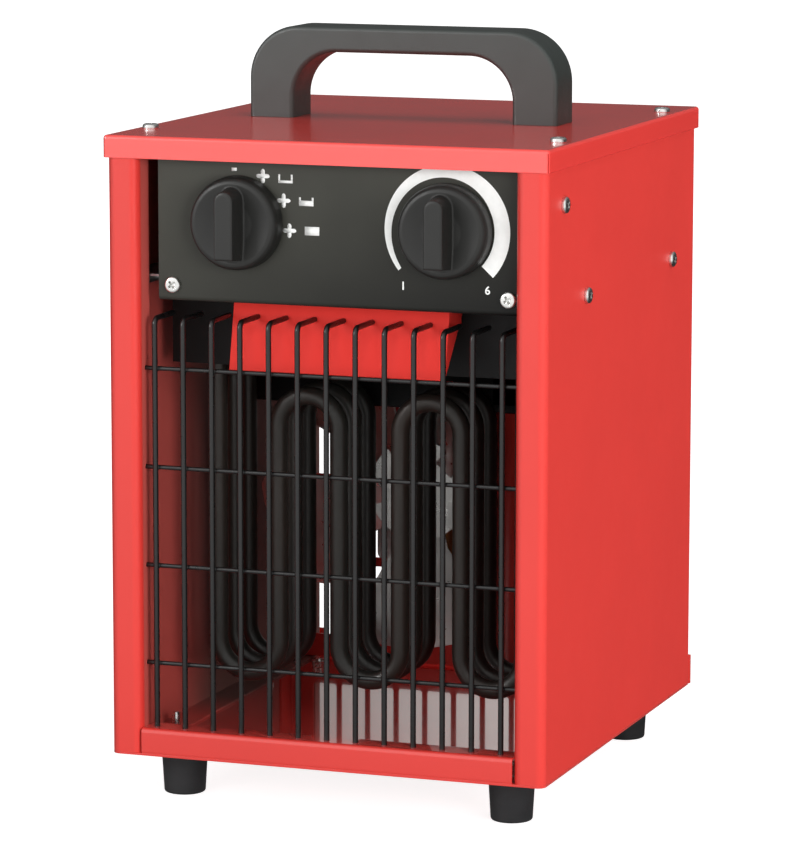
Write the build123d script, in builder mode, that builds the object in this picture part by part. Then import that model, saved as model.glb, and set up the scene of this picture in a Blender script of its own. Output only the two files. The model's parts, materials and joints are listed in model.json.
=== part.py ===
"""Portable forced air heater: folded steel case, tubular elements, axial fan and two rotary controls.

Millimetres, +Z up, origin on the floor below the middle of the overall box, knobs included.
X runs to the right and Y to the back for someone who faces the grille.
"""

import os
from math import cos, radians, sin

from build123d import *

os.makedirs("parts", exist_ok=True)

# Case
body_width = 205
body_depth = 231.5
body_height = 280
foot_height = 22
sheet = 1
sheet_gap = 0.2
fold_radius = 1.5
roll_radius = 3.5
flange_width = 14.5
front_return = 13.75
rear_return = 10
seam_flange = 14

# Lid and tray
lid_lip = 10
lid_edge_radius = 1.6
lid_seam = 0.5
rail_height = 12.5
rail_flange = 13.5
rear_lip_height = 8
rear_ear_height = 14
rear_ear_width = 17

# Rear panel slots
slot_columns = 12
slot_rows = 5
slot_margin = 12.5
slot_bar = 2.5
slot_web = 4.5
slot_base = 13.5
slot_headroom = 6.8
slot_corner = 1.5
pad_columns = 4
pad_rows = 3

# Carrying handle
handle_length = 149
handle_height = 42.4
handle_depth = 24.5
handle_leg = 21.5
handle_grip = 11.8
handle_outer_radius = 24
handle_inner_radius = 21
handle_edge_radius = 2
handle_x = -2
handle_offset = 3.75

# Feet
foot_inset_x = 24
foot_inset_y = 28.75
foot_top_radius = 10.7
foot_base_radius = 9.4
foot_edge_radius = 1.2
foot_well_radius = 5.5
foot_well_depth = 12

# Wire grille
wire_count = 13
wire_margin = 6.4
wire_offset = -1.2
wire_radius = 1.25
cross_radius = 1
cross_count = 4
cross_base = 41.3
cross_drop = 31.1
wire_setback = 6.95
wire_drop = 8.5
wire_run = 21.8
wire_bend = 3
weld_depth = 0.3
wire_hole_gap = 0.2

# Fascia and control chassis
fascia_setback = 8
fascia_overlap = 10.5
fascia_flange = 20.25
fascia_left_gap = 7
fascia_screw_left = 7
fascia_screw_right = 5
fascia_screw_rise = 7
control_space = 63
chassis_front_gap = 0.2
ear_width = 21
ear_drop = 16
side_screw_rear = 75
side_screw_middle = -58
side_screw_front = -92
side_screw_drop = 6.5
side_screw_lift = 1
side_screw_top = 26

# Controls
knob_drop = 37.5
knob_spacing = 97
knob_offset = 2.6
knob_radius = 21
knob_skirt = 5.5
knob_depth = 19
knob_crown_radius = 15.5
knob_grip_width = 9
knob_gap = 0.5
knob_pocket_depth = 12
spindle_radius = 3
spindle_clearance = 0.05
spindle_reach = 13
spindle_socket = 13
switch_size = 30
switch_depth = 34
thermostat_extra_size = 2
thermostat_less_depth = 6
tab_width = 6.3
tab_thickness = 0.8
tab_length = 8

# Tubular elements
element_count = 3
element_setback = 59.5
element_pitch = 18.25
tube_radius = 4.25
leg_margin = 28
leg_count = 6
bend_bottom = 28.9
bend_drop = 58.4
leg_rise = 11
bushing_radius = 7
bushing_height = 6
tube_hole_gap = 0.35
pin_radius = 1.5
insulator_radius = 3.4
insulator_height = 5

# Heat shield and deflector
shield_side_gap = 8.5
shield_front_gap = 1.5
shield_front_height = 44
shield_rear_height = 23
shield_depth = 55
deflector_width = 102
deflector_offset = -3
deflector_height = 32.5
deflector_setback_bottom = 24.2
deflector_setback_top = 31
deflector_top_gap = 0.4
deflector_rear_lip = 10

# Fan
fan_radius = 75
fan_drop = 5.85
fan_gap_share = 0.386
fan_blades_count = 5
fan_disc_radius = 24
fan_sheet = 1.2
blade_pitch = 22
blade_half_angle = 28.5
blade_neck_radius = 28
blade_neck = 26
blade_root = 8
blade_tip_fillet = 9
blade_rest_angle = 200
hub_radius = 7
hub_flange_radius = 11
hub_flange = 2
hub_length = 13.4
nut_height = 4
nut_radius = 4.6

# Motor
shaft_radius = 3
shaft_clearance = 0.05
shaft_front = 7
shaft_length = 77
stator_gap = 38
stator_depth = 18
stator_width = 68
stator_above = 24
stator_below = 42
rotor_radius = 13.8
air_gap = 0.4
limb_height = 12
window_height = 12
window_width = 32
coil_width = 30
coil_overhang = 6
coil_height = 10
bearing_strap = 2
bearing_gap = 4
bearing_width = 14
boss_radius = 8
boss_length = 6
motor_screw_spacing = 44
post_radius = 4
standoff_length = 12
bracket_sheet = 1.5
bracket_width = 56
bracket_height = 60
bracket_foot = 8
bracket_screw_spacing = 40
bracket_screw_length = 6
motor_screw_tail = 4

# Fasteners and cable inlet
screw_head_radius = 3.7
screw_head_height = 2.2
screw_head_taper = 25
shank_radius = 1.75
screw_hole_gap = 0.15
screw_length = 8
rear_screw_length = 5
lid_screw_inset = 6.5
lid_screw_y = 80
base_screw_inset = 8.5
base_screw_y = 60
ear_screw_inset = 6.5
foot_screw_radius = 2
foot_nut_height = 3
foot_nut_radius = 4
handle_screw_length = 16
grommet_inset = 42.5
grommet_drop = 40
grommet_radius = 12
grommet_neck = 8.8
grommet_bore = 4
grommet_lip = 3.5
block_length = 40
block_depth = 18
block_height = 16
block_screw_radius = 2
block_screw_gap = 0.2
block_screw_well = 4
block_screw_rise = 2.5
cutout_radius = 8
cutout_ear = 8
cutout_height = 9

# Places worked out from the sizes above
half_width = body_width / 2
case_middle = (knob_depth + knob_gap - fascia_setback - sheet_gap - sheet - screw_head_height) / 2
front = case_middle - body_depth / 2
rear = case_middle + body_depth / 2
base = foot_height
lid_top = base + body_height
outer_roll = roll_radius + sheet / 2
inner_width = half_width - sheet
return_face = half_width - flange_width
opening_edge = return_face - sheet_gap
rear_plate = rear - rear_return
chassis_z = lid_top - control_space
fascia_z = chassis_z - fascia_overlap
slot_pitch = 2 * (half_width - slot_margin) / slot_columns
slot_width = slot_pitch - slot_bar
slot_reach = chassis_z - base - slot_base - slot_headroom
slot_height = (slot_reach - (slot_rows - 1) * slot_web) / slot_rows
row_pitch = slot_height + slot_web
fan_z = base + slot_base + slot_reach / 2 - fan_drop
grommet_x = half_width - grommet_inset
grommet_z = lid_top - grommet_drop
knob_z = lid_top - knob_drop
fascia_face = front + fascia_setback
fascia_left = fascia_left_gap - return_face
fascia_middle = (fascia_left + opening_edge) / 2
fascia_width = opening_edge - fascia_left
selector_x = fascia_middle + knob_offset - knob_spacing / 2
thermostat_x = fascia_middle + knob_offset + knob_spacing / 2
chassis_lip = fascia_z + sheet + fold_radius
chassis_front = fascia_face + sheet + chassis_front_gap
wire_y = front + wire_setback
cross_y = wire_y + wire_radius + cross_radius - weld_depth
wire_top_z = fascia_z - wire_drop
wire_pitch = 2 * (return_face - wire_margin) / (wire_count - 1)
cross_top = fascia_z - cross_drop
cross_pitch = (cross_top - base - cross_base) / (cross_count - 1)
leg_pitch = 2 * (inner_width - leg_margin) / (leg_count - 1)
leg_top = chassis_z + leg_rise
bend_top = chassis_z - bend_drop
element_front = front + element_setback
shield_front = element_front - tube_radius - shield_front_gap - sheet
shield_rear = shield_front + shield_depth
shield_top = chassis_z - sheet
element_rear = element_front + (element_count - 1) * element_pitch + tube_radius
blade_reach = fan_radius * sin(radians(blade_half_angle)) * sin(radians(blade_pitch))
motor_run = stator_gap + stator_depth + bearing_gap + bearing_strap + standoff_length + bracket_sheet
free_depth = rear_plate - sheet - element_rear - blade_reach - motor_run
fan_y = element_rear + blade_reach + fan_gap_share * free_depth
stator_front = fan_y + stator_gap
stator_rear = stator_front + stator_depth
bearing_front = stator_front - bearing_gap - bearing_strap
bearing_rear = stator_rear + bearing_gap + bearing_strap
bracket_plate = bearing_rear + standoff_length

UP = (0, 0, 1)
DOWN = (0, 0, -1)
FORWARD = (0, -1, 0)
BACK = (0, 1, 0)
RIGHT = (1, 0, 0)
LEFT = (-1, 0, 0)
foot_places = [(x, y) for x in (foot_inset_x - half_width, half_width - foot_inset_x)
               for y in (front + foot_inset_y, rear - foot_inset_y)]
lid_screw_places = [(x, case_middle + y) for x in (lid_screw_inset - half_width, half_width - lid_screw_inset)
                    for y in (-lid_screw_y, lid_screw_y)]
base_screw_places = [(x, case_middle + y)
                     for x in (base_screw_inset - half_width, half_width - base_screw_inset)
                     for y in (-base_screw_y, base_screw_y)]
handle_legs = [handle_x + side * (handle_length - handle_leg) / 2 for side in (-1, 1)]
handle_y = case_middle + handle_offset
side_screw_places = [(case_middle + side_screw_front, lid_top - side_screw_top),
                     (case_middle + side_screw_middle, chassis_z - side_screw_drop),
                     (case_middle + side_screw_rear, chassis_z - side_screw_drop + side_screw_lift)]
fascia_screw_places = [(x, fascia_z + fascia_screw_rise)
                       for x in (fascia_left + fascia_screw_left, opening_edge - fascia_screw_right)]
wire_places = [wire_offset + wire_pitch * (i - (wire_count - 1) / 2) for i in range(wire_count)]
cross_places = [cross_top - cross_pitch * i for i in range(cross_count)]
element_places = [element_front + element_pitch * i for i in range(element_count)]
leg_places = [leg_pitch * (i - (leg_count - 1) / 2) for i in range(leg_count)]
terminal_places = [(x, y) for x in (leg_places[0], leg_places[-1]) for y in element_places]
bracket_screw_places = [(x, z) for x in (-bracket_screw_spacing / 2, bracket_screw_spacing / 2)
                        for z in (fan_z - bracket_height / 2 - bracket_foot / 2,
                                  fan_z + bracket_height / 2 + bracket_foot / 2)]
motor_screw_places = [(x, fan_z) for x in (-motor_screw_spacing / 2, motor_screw_spacing / 2)]
ear_screw_places = [(x, base + rear_ear_height / 2)
                    for x in (ear_screw_inset - half_width, half_width - ear_screw_inset)]


def keep(piece, name):
    """Label a finished piece and write its STEP file."""
    piece.part.label = name
    export_step(piece.part, f"parts/{name}.step")


def facing(x, y, z, direction):
    """Plane at a point, looking along a direction."""
    return Plane(origin=(x, y, z), z_dir=direction)


def drill(places, radius, depth=3):
    """Round holes through the sheet at each place, inside the open part."""
    for place in places:
        with BuildSketch(place) as hole:
            Circle(radius)
        extrude(hole.sketch, amount=depth, both=True, mode=Mode.SUBTRACT)


def pan_screws(places, length=screw_length):
    """Pan head screws with heads standing on the places and shanks running into them."""
    with BuildPart() as screws:
        for place in places:
            with BuildSketch(place):
                Circle(screw_head_radius)
            extrude(amount=screw_head_height, taper=screw_head_taper)
            with BuildSketch(place):
                Circle(shank_radius)
            extrude(amount=-length)
    return screws


def folded_strip(points, width, thickness=sheet, radius=fold_radius, middle=0):
    """Sheet folded along a line in the side view and drawn out to both sides, inside the open part."""
    with BuildSketch(Plane.YZ.offset(middle)) as profile:
        with BuildLine():
            FilletPolyline(*points, radius=radius)
        trace(line_width=thickness)
    extrude(profile.sketch, amount=width / 2, both=True)


def shank_holes(places):
    """Clearance holes for the case screws, inside the open part."""
    drill(places, shank_radius + screw_hole_gap)


# Screw planes shared by the screws and by every sheet they pass through
lid_planes = [facing(x, y, lid_top, UP) for x, y in lid_screw_places]
base_planes = [facing(x, y, base, DOWN) for x, y in base_screw_places]
fascia_planes = [facing(x, fascia_face, z, FORWARD) for x, z in fascia_screw_places]
right_planes = [facing(half_width, y, z, RIGHT) for y, z in side_screw_places]
left_planes = [facing(-half_width, y, z, LEFT) for y, z in side_screw_places]
handle_planes = [facing(x, handle_y, lid_top - sheet, DOWN) for x in handle_legs]
bracket_planes = [facing(x, rear_plate, z, BACK) for x, z in bracket_screw_places]
ear_face = rear + sheet_gap + sheet
ear_planes = [facing(x, ear_face, z, BACK) for x, z in ear_screw_places]


# ---- Base tray: folded front rail, floor under the side panels, rear lip with two ears
floor_mid = base + sheet / 2
rail_top = base + rail_height - sheet / 2
with BuildPart() as base_tray:
    folded_strip([(front + rail_flange, rail_top), (front + sheet / 2, rail_top),
                  (front + sheet / 2, floor_mid), (ear_face - sheet / 2, floor_mid),
                  (ear_face - sheet / 2, base + rear_lip_height)], 2 * opening_edge)
    with BuildSketch(Plane.XY.offset(base)):
        with Locations((0, case_middle)):
            RectangleRounded(body_width, body_depth, outer_roll)
    extrude(amount=sheet)
    with BuildSketch(Plane.XZ.offset(-ear_face)):
        for side in (-1, 1):
            with Locations((side * (half_width - rear_ear_width / 2), base)):
                Rectangle(rear_ear_width, rear_ear_height, align=(Align.CENTER, Align.MIN))
    extrude(amount=sheet)
    with BuildSketch(Plane.XY.offset(base)):
        for side in (-1, 1):
            with Locations((side * (half_width - rear_ear_width / 2), ear_face)):
                Rectangle(rear_ear_width, sheet_gap + 2 * sheet, align=(Align.CENTER, Align.MAX))
    extrude(amount=sheet)
    drill([facing(x, wire_y, rail_top, UP) for x in wire_places], wire_radius + wire_hole_gap, sheet)
    drill([facing(x, y, floor_mid, UP) for x, y in foot_places], foot_screw_radius + wire_hole_gap)
    shank_holes(base_planes)
    shank_holes(ear_planes)
keep(base_tray, "base_tray")


# ---- Side panels: front and rear edges folded in and back, flanges under the lid and on the tray
def side_panel(side, screw_planes):
    """One side panel, to the left (-1) or to the right (1)."""
    skin = side * (half_width - sheet / 2)
    lip = side * (return_face + sheet / 2)
    with BuildPart() as panel:
        with BuildSketch(Plane.XY.offset(base + sheet)):
            with BuildLine():
                FilletPolyline((lip, front + front_return), (lip, front + sheet / 2),
                               (skin, front + sheet / 2), (skin, rear - sheet / 2),
                               (lip, rear - sheet / 2), (lip, rear - rear_return), radius=roll_radius)
            trace(line_width=sheet)
        extrude(amount=body_height - 2 * sheet)
        seam_x = side * (inner_width - seam_flange / 2)
        seam_front = front + front_return + sheet
        seam_rear = rear_plate - 2 * sheet
        for level in (base + sheet, lid_top - 2 * sheet):
            with BuildSketch(Plane.XY.offset(level)):
                with Locations((seam_x, (seam_front + seam_rear) / 2)):
                    Rectangle(seam_flange, seam_rear - seam_front)
            extrude(amount=sheet)
        drill([facing(lip, cross_y, z, RIGHT) for z in cross_places], cross_radius + wire_hole_gap, 2 * sheet)
        shank_holes(screw_planes)
        shank_holes(lid_planes)
        shank_holes(base_planes)
        shank_holes(ear_planes)
    return panel


side_panel_left = side_panel(-1, left_planes)
keep(side_panel_left, "side_panel_left")
side_panel_right = side_panel(1, right_planes)
keep(side_panel_right, "side_panel_right")


# ---- Lid: a shallow cap that drops over the side panels, its folded lip open at the corners
lid_inner_width = body_width + 2 * sheet_gap
lid_inner_depth = body_depth + 2 * sheet_gap
with BuildPart() as top_cover:
    with BuildSketch(Plane.XY.offset(lid_top)):
        with Locations((0, case_middle)):
            Rectangle(lid_inner_width + 2 * sheet, lid_inner_depth + 2 * sheet)
    extrude(amount=-lid_lip)
    fillet(top_cover.edges().filter_by(Axis.Z), lid_edge_radius)
    fillet(top_cover.faces().sort_by(Axis.Z)[-1].edges(), lid_edge_radius)
    with BuildSketch(Plane.XY.offset(lid_top - sheet)):
        with Locations((0, case_middle)):
            Rectangle(lid_inner_width, lid_inner_depth)
    extrude(amount=-lid_lip, mode=Mode.SUBTRACT)
    with BuildSketch(Plane.XY.offset(lid_top - lid_edge_radius)):
        for side in (-1, 1):
            with Locations((side * (lid_inner_width + sheet) / 2, front - sheet_gap - sheet / 2),
                           (side * (lid_inner_width + sheet) / 2, rear + sheet_gap + sheet / 2)):
                Rectangle(lid_seam, 2 * sheet)
    extrude(amount=-lid_lip, mode=Mode.SUBTRACT)
    shank_holes(lid_planes)
    drill(handle_planes, shank_radius + screw_hole_gap)
keep(top_cover, "top_cover")


# ---- Rear panel: three rows of upright slots with a plain pad for the motor, edges folded forward
with BuildPart() as rear_panel:
    with BuildSketch(Plane.XY.offset(base + 2 * sheet + sheet_gap)):
        edge = inner_width - sheet_gap - sheet / 2
        with BuildLine():
            FilletPolyline((-edge, rear_plate - flange_width), (-edge, rear_plate - sheet / 2),
                           (edge, rear_plate - sheet / 2), (edge, rear_plate - flange_width),
                           radius=fold_radius)
        trace(line_width=sheet)
    extrude(amount=body_height - 4 * sheet - 2 * sheet_gap)
    with BuildSketch(Plane.XZ.offset(-rear_plate)):
        for row in range(slot_rows):
            for column in range(slot_columns):
                on_pad = (abs(row - (slot_rows - 1) / 2) < pad_rows / 2
                          and abs(column - (slot_columns - 1) / 2) < pad_columns / 2)
                if not on_pad:
                    x = slot_pitch * (column - (slot_columns - 1) / 2)
                    z = base + slot_base + slot_height / 2 + row * row_pitch
                    with Locations((x, z)):
                        RectangleRounded(slot_width, slot_height, slot_corner)
    extrude(amount=2 * sheet, mode=Mode.SUBTRACT)
    drill([facing(grommet_x, rear_plate, grommet_z, BACK)], grommet_neck + sheet_gap)
    shank_holes(bracket_planes)
keep(rear_panel, "rear_panel")


# ---- Front grille: upright wires welded to four cross wires, tops bent back to the deflector
with BuildPart() as front_grille:
    wire_start = base + rail_height - 2.5
    for x in wire_places:
        with BuildLine(Plane.YZ.offset(x)):
            FilletPolyline((wire_y, wire_start), (wire_y, wire_top_z), (wire_y + wire_run, wire_top_z),
                           radius=wire_bend)
        with BuildSketch(Plane.XY.offset(wire_start)):
            with Locations((x, wire_y)):
                Circle(wire_radius)
        sweep()
    for z in cross_places:
        with BuildSketch(Plane.YZ.offset(-return_face - 2 * sheet)):
            with Locations((cross_y, z)):
                Circle(cross_radius)
        extrude(amount=2 * (return_face + 2 * sheet))
keep(front_grille, "front_grille")


# ---- Fascia: sheet with a flange folded back under the controls
with BuildPart() as control_fascia:
    folded_strip([(fascia_face + fascia_flange, fascia_z + sheet / 2),
                  (fascia_face + sheet / 2, fascia_z + sheet / 2),
                  (fascia_face + sheet / 2, lid_top - 2 * sheet - sheet_gap)],
                 fascia_width, middle=fascia_middle)
    drill([facing(x, fascia_face, knob_z, FORWARD) for x in (selector_x, thermostat_x)],
          spindle_radius + 1)
    shank_holes(fascia_planes)
keep(control_fascia, "control_fascia")


# ---- Control chassis: inverted tray between the side panels, with two ears at the front
cheek = inner_width - sheet_gap
cheek_front = front + front_return + 1
cheek_rear = rear_plate - flange_width - sheet
with BuildPart() as control_chassis:
    with BuildSketch(Plane.XY.offset(chassis_z)):
        with Locations((0, (cheek_front + cheek_rear) / 2)):
            Rectangle(2 * cheek, cheek_rear - cheek_front)
        with Locations((fascia_middle, (chassis_front + rear_plate - sheet - sheet_gap) / 2)):
            Rectangle(fascia_width - 2 * sheet, rear_plate - sheet - sheet_gap - chassis_front)
    extrude(amount=-sheet)
    with BuildSketch(Plane.XZ.offset(-chassis_front)):
        with Locations((fascia_middle, chassis_lip)):
            Rectangle(fascia_width - 2 * sheet, chassis_z - chassis_lip, align=(Align.CENTER, Align.MIN))
    extrude(amount=-sheet)
    for side in (-1, 1):
        with BuildSketch(Plane.YZ.offset(side * cheek)):
            with Locations((cheek_front, chassis_lip)):
                Rectangle(cheek_rear - cheek_front, chassis_z - chassis_lip, align=(Align.MIN, Align.MIN))
                Rectangle(ear_width, lid_top - ear_drop - chassis_lip, align=(Align.MIN, Align.MIN))
        extrude(amount=-side * sheet)
    hole_centres = [facing(x, y, chassis_z, UP) for x, y in terminal_places]
    drill(hole_centres, tube_radius + tube_hole_gap)
    shank_holes(fascia_planes)
    shank_holes(left_planes)
    shank_holes(right_planes)
keep(control_chassis, "control_chassis")


# ---- Heat shield: channel that closes the space over the elements
with BuildPart() as heat_shield:
    folded_strip([(shield_front + sheet / 2, shield_top - shield_front_height),
                  (shield_front + sheet / 2, shield_top - sheet / 2),
                  (shield_rear - sheet / 2, shield_top - sheet / 2),
                  (shield_rear - sheet / 2, shield_top - shield_rear_height)],
                 2 * (inner_width - shield_side_gap))
    drill(hole_centres, tube_radius + tube_hole_gap)
keep(heat_shield, "heat_shield")


# ---- Deflector: wedge hood with a sloping face, a flat top and two triangular cheeks
face_bottom = (front + deflector_setback_bottom, fascia_z - deflector_height)
face_top = (front + deflector_setback_top, fascia_z - deflector_top_gap)
hood_rear = shield_front - sheet_gap
with BuildPart() as heat_deflector:
    with BuildSketch(Plane.YZ.offset(deflector_offset)):
        with BuildLine():
            Polyline(face_bottom, face_top, (hood_rear, face_top[1]), close=True)
        make_face()
    extrude(amount=deflector_width / 2, both=True)
    with BuildSketch(Plane.YZ.offset(deflector_offset)):
        with BuildLine():
            Polyline((face_bottom[0] + sheet, face_bottom[1]), (face_top[0] + sheet, face_top[1] - sheet),
                     (hood_rear, face_top[1] - sheet), (hood_rear, face_bottom[1]), close=True)
        make_face()
    extrude(amount=deflector_width / 2 - sheet, both=True, mode=Mode.SUBTRACT)
    with BuildSketch(Plane.XZ.offset(-hood_rear)):
        with Locations((deflector_offset, face_top[1])):
            Rectangle(deflector_width - 4 * sheet, deflector_rear_lip, align=(Align.CENTER, Align.MAX))
    extrude(amount=sheet)
keep(heat_deflector, "heat_deflector")


# ---- Tubular elements: one tube in six upright legs, joined by half-round bends
def serpentine(y):
    """One element in the upright plane at y."""
    lower = base + bend_bottom + leg_pitch / 2
    upper = bend_top - leg_pitch / 2
    with BuildPart() as element:
        with BuildLine(Plane.XZ.offset(-y)):
            Line((leg_places[0], leg_top), (leg_places[0], lower))
            for i in range(leg_count - 1):
                middle = (leg_places[i] + leg_places[i + 1]) / 2
                last = i == leg_count - 2
                if i % 2 == 0:
                    CenterArc((middle, lower), leg_pitch / 2, 180, 180)
                    Line((leg_places[i + 1], lower), (leg_places[i + 1], leg_top if last else upper))
                else:
                    CenterArc((middle, upper), leg_pitch / 2, 180, -180)
                    Line((leg_places[i + 1], upper), (leg_places[i + 1], lower))
        with BuildSketch(Plane.XY.offset(leg_top)):
            with Locations((leg_places[0], y)):
                Circle(tube_radius)
        sweep()
    return element


for place, name in zip(element_places, ("front", "middle", "rear")):
    keep(serpentine(place), f"heating_element_{name}")

with BuildPart() as element_bushings:
    for x, y in terminal_places:
        with BuildSketch(Plane.XY.offset(chassis_z)):
            with Locations((x, y)):
                RegularPolygon(bushing_radius, 6)
                Circle(tube_radius, mode=Mode.SUBTRACT)
        extrude(amount=bushing_height)
keep(element_bushings, "element_bushings")

with BuildPart() as element_insulators:
    for x, y in terminal_places:
        with BuildSketch(Plane.XY.offset(leg_top)):
            with Locations((x, y)):
                Circle(insulator_radius)
                Circle(pin_radius, mode=Mode.SUBTRACT)
        extrude(amount=insulator_height)
keep(element_insulators, "element_insulators")

with BuildPart() as element_terminals:
    for x, y in terminal_places:
        with BuildSketch(Plane.XY.offset(leg_top)):
            with Locations((x, y)):
                Circle(pin_radius)
        extrude(amount=insulator_height + 1)
        with BuildSketch(Plane.XY.offset(leg_top + insulator_height + 1)):
            with Locations((x, y)):
                Rectangle(tab_thickness, tab_width)
        extrude(amount=tab_length)
keep(element_terminals, "element_terminals")


# ---- Rotary controls: a switch, a thermostat, their spindles and two alike knobs
def control_body(x, size, depth):
    """Moulded body behind the fascia, with a blind bore for the spindle and blade terminals."""
    back = fascia_face + sheet + depth
    with BuildPart() as body:
        with BuildSketch(Plane.XZ.offset(-fascia_face - sheet)):
            with Locations((x, knob_z)):
                RectangleRounded(size, size, 3)
        extrude(amount=-depth)
        with BuildSketch(Plane.XZ.offset(-fascia_face - sheet)):
            with Locations((x, knob_z)):
                Circle(spindle_radius + spindle_clearance)
        extrude(amount=-spindle_socket - sheet, mode=Mode.SUBTRACT)
        with BuildSketch(Plane.XZ.offset(-back)):
            with Locations((x, knob_z)):
                with GridLocations(size / 2, size / 3, 2, 2):
                    Rectangle(tab_width, tab_thickness)
        extrude(amount=-tab_length)
    return body


selector_switch = control_body(selector_x, switch_size, switch_depth)
keep(selector_switch, "selector_switch")
thermostat = control_body(thermostat_x, switch_size + thermostat_extra_size,
                          switch_depth - thermostat_less_depth)
keep(thermostat, "thermostat")


def spindle(x):
    """Control spindle, from its socket in the body to inside the knob."""
    with BuildPart() as pin:
        with BuildSketch(Plane.XZ.offset(-fascia_face - sheet - spindle_socket)):
            with Locations((x, knob_z)):
                Circle(spindle_radius)
        extrude(amount=spindle_socket + sheet + spindle_reach)
    return pin


keep(spindle(selector_x), "selector_spindle")
keep(spindle(thermostat_x), "thermostat_spindle")


def knob(x):
    """Round knob: a skirt, a tapering crown and a grip bar left between two scooped pockets."""
    skirt_back = -fascia_face + knob_gap
    with BuildPart() as body:
        with BuildSketch(Plane.XY.offset(knob_z)):
            with BuildLine():
                Polyline((x, fascia_face - knob_gap), (x + knob_radius, fascia_face - knob_gap),
                         (x + knob_radius - 0.6, fascia_face - knob_gap - knob_skirt))
                TangentArc((x + knob_radius - 0.6, fascia_face - knob_gap - knob_skirt),
                           (x + knob_crown_radius, fascia_face - knob_gap - knob_depth),
                           tangent=(-0.35, -1))
                Polyline((x + knob_crown_radius, fascia_face - knob_gap - knob_depth),
                         (x, fascia_face - knob_gap - knob_depth), (x, fascia_face - knob_gap))
            make_face()
        revolve(axis=Axis((x, 0, knob_z), FORWARD))
        for side in (-1, 1):
            with BuildSketch(Plane.XZ.offset(skirt_back + knob_depth)):
                with Locations((x + side * (knob_grip_width / 2 + knob_radius), knob_z)):
                    Rectangle(2 * knob_radius, 2 * knob_radius)
            extrude(amount=-knob_pocket_depth, mode=Mode.SUBTRACT)
        with BuildSketch(Plane.XZ.offset(skirt_back)):
            with Locations((x, knob_z)):
                Circle(spindle_radius + spindle_clearance)
        extrude(amount=spindle_reach - knob_gap + sheet_gap, mode=Mode.SUBTRACT)
    return body


keep(knob(selector_x), "selector_knob")
keep(knob(thermostat_x), "thermostat_knob")


# ---- Fan: five pitched blades and a disc from one sheet, on a flanged hub with a nut
with BuildPart() as fan_blades:
    with BuildSketch(Plane.XZ.offset(-fan_y - fan_sheet / 2)):
        with Locations((0, fan_z)):
            Circle(fan_disc_radius)
    extrude(amount=fan_sheet)
    for i in range(fan_blades_count):
        turn = radians(blade_rest_angle + i * 360 / fan_blades_count)
        pitch = radians(blade_pitch)
        blade_plane = Plane(origin=(0, fan_y, fan_z), x_dir=(cos(turn), 0, sin(turn)),
                            z_dir=(-sin(turn) * sin(pitch), -cos(pitch), cos(turn) * sin(pitch)))
        tip_x = fan_radius * cos(radians(blade_half_angle))
        tip_y = fan_radius * sin(radians(blade_half_angle))
        root_x = fan_disc_radius - blade_root
        with BuildSketch(blade_plane):
            with BuildLine():
                Polyline((root_x, blade_neck / 2 - 2), (blade_neck_radius, blade_neck / 2), (tip_x, tip_y))
                ThreePointArc((tip_x, tip_y), (fan_radius, 0), (tip_x, -tip_y))
                Polyline((tip_x, -tip_y), (blade_neck_radius, -blade_neck / 2),
                         (root_x, 2 - blade_neck / 2), (root_x, blade_neck / 2 - 2))
            make_face()
            fillet(vertices().group_by(Axis.X)[-1], blade_tip_fillet)
        extrude(amount=fan_sheet / 2, both=True)
    drill([facing(0, fan_y, fan_z, BACK)], shaft_radius + shaft_clearance, hub_length)
keep(fan_blades, "fan_blades")

with BuildPart() as fan_hub:
    with BuildSketch(Plane.XZ.offset(-fan_y - fan_sheet / 2)):
        with Locations((0, fan_z)):
            Circle(hub_flange_radius)
    extrude(amount=-hub_flange)
    with BuildSketch(Plane.XZ.offset(-fan_y - fan_sheet / 2)):
        with Locations((0, fan_z)):
            Circle(hub_radius)
    extrude(amount=-hub_length)
    drill([facing(0, fan_y, fan_z, BACK)], shaft_radius + shaft_clearance, 2 * hub_length)
keep(fan_hub, "fan_hub")

with BuildPart() as fan_nut:
    with BuildSketch(Plane.XZ.offset(-fan_y + fan_sheet / 2)):
        with Locations((0, fan_z)):
            RegularPolygon(nut_radius, 6)
            Circle(shaft_radius + shaft_clearance, mode=Mode.SUBTRACT)
    extrude(amount=nut_height)
keep(fan_nut, "fan_nut")

with BuildPart() as motor_shaft:
    with BuildSketch(Plane.XZ.offset(-fan_y + shaft_front)):
        with Locations((0, fan_z)):
            Circle(shaft_radius)
    extrude(amount=-shaft_length)
keep(motor_shaft, "motor_shaft")

with BuildPart() as motor_rotor:
    with BuildSketch(Plane.XZ.offset(-stator_front)):
        with Locations((0, fan_z)):
            Circle(rotor_radius)
            Circle(shaft_radius + shaft_clearance, mode=Mode.SUBTRACT)
    extrude(amount=-stator_depth)
keep(motor_rotor, "motor_rotor")


# ---- Motor: stator with its coil on the lower limb, two bearing straps, through screws
limb_bottom = fan_z - stator_below
window_bottom = limb_bottom + limb_height
motor_planes = [facing(x, bearing_front, z, FORWARD) for x, z in motor_screw_places]
motor_length = bracket_plate - bearing_front
with BuildPart() as motor_stator:
    with BuildSketch(Plane.XZ.offset(-stator_front)):
        with Locations((0, limb_bottom)):
            Rectangle(stator_width, stator_below + stator_above, align=(Align.CENTER, Align.MIN))
        fillet(vertices(), 4)
        with Locations((0, fan_z)):
            Circle(rotor_radius + air_gap, mode=Mode.SUBTRACT)
        with Locations((0, window_bottom)):
            Rectangle(window_width, window_height, align=(Align.CENTER, Align.MIN), mode=Mode.SUBTRACT)
    extrude(amount=-stator_depth)
    drill(motor_planes, shank_radius + screw_hole_gap, motor_length)
keep(motor_stator, "motor_stator")

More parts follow.
